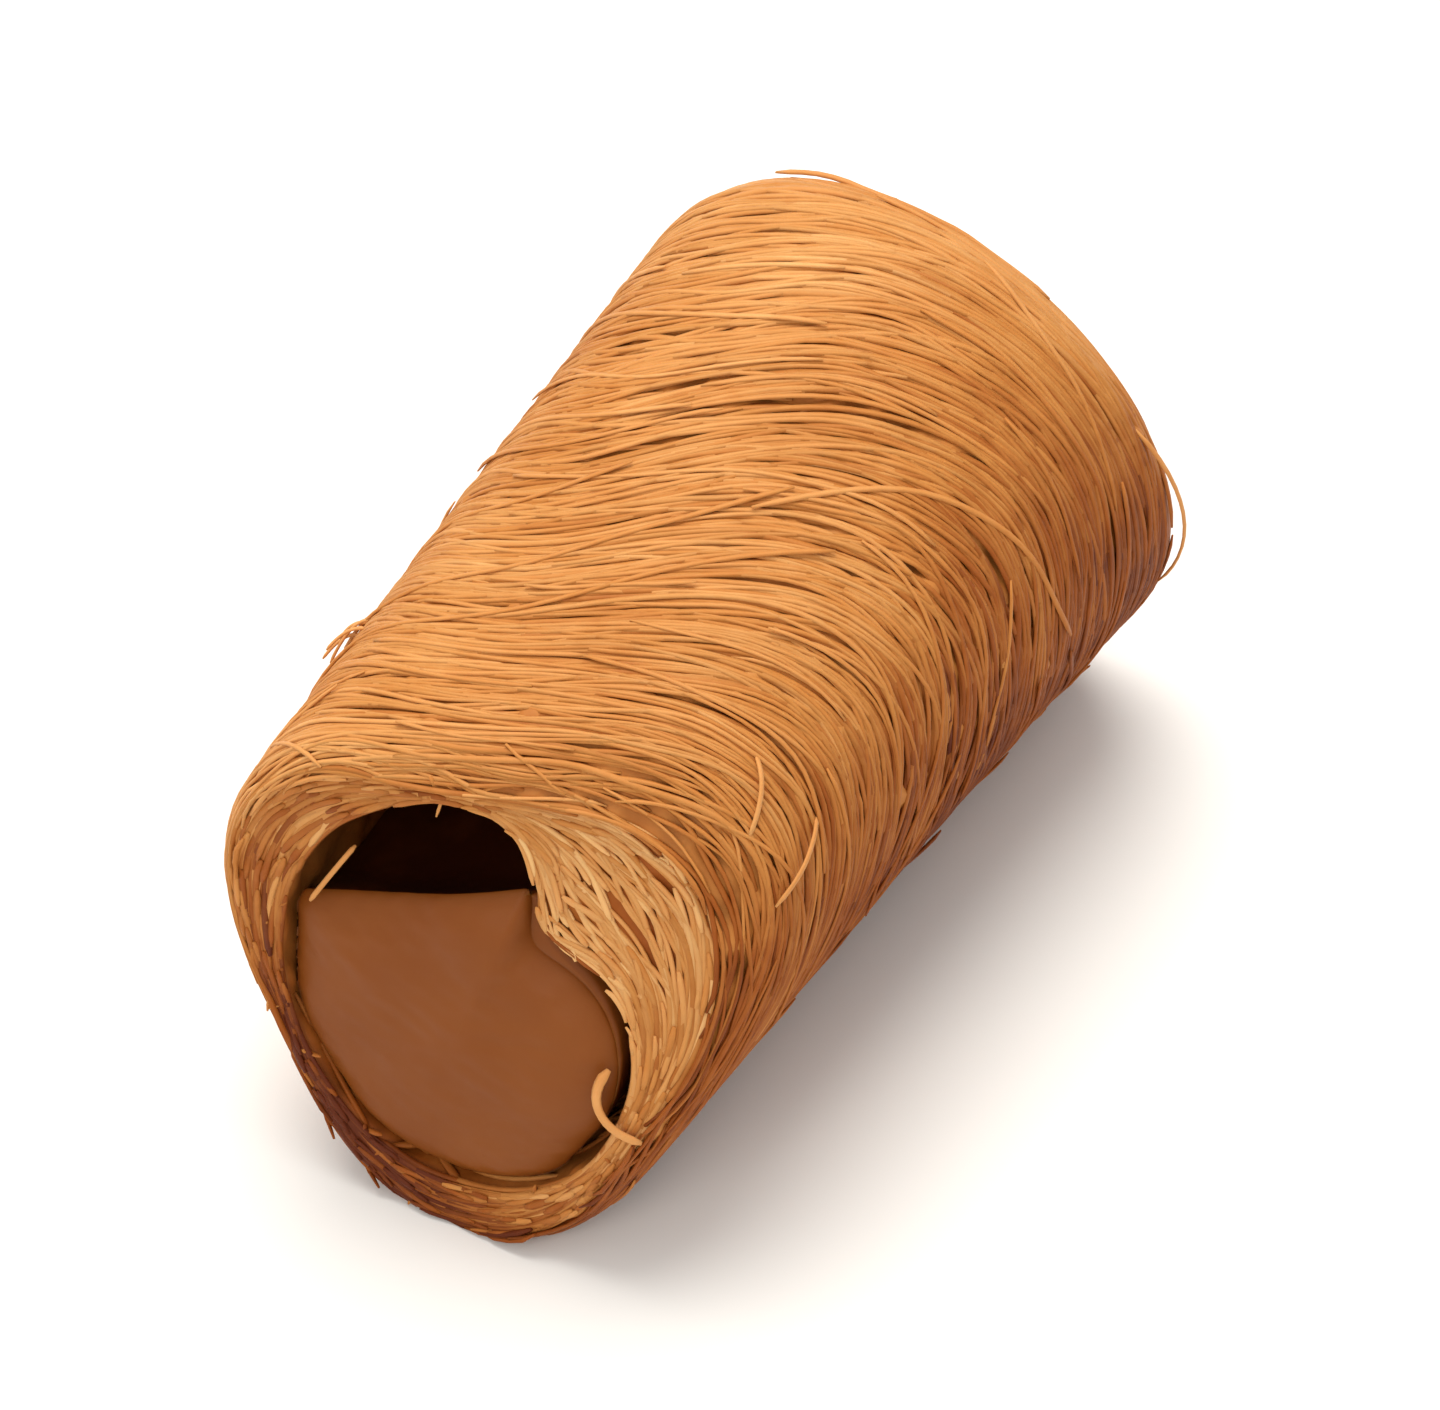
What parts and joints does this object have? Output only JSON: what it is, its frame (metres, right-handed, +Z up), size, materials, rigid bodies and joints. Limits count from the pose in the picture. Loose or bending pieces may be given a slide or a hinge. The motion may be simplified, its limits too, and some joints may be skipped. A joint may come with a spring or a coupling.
{
  "type": "kadayif finger",
  "caption": "Finger of shredded pastry threads rolled round a caramel cream filling, cut open at both ends.",
  "frame": {"origin": "middle of the underside, on the surface that the finger rests on", "axes": "+Y along the roll from the cut end that shows, +X to the right seen from that end, +Z up"},
  "size_m": [0.0348, 0.0534, 0.0335],
  "materials": {
    "pastry": "baked golden pastry threads, brushed with syrup",
    "filling": "smooth thick caramel cream"
  },
  "bodies": {
    "root": {"pastry_roll": "pastry", "cream_filling": "filling"}
  },
  "joints": []
}
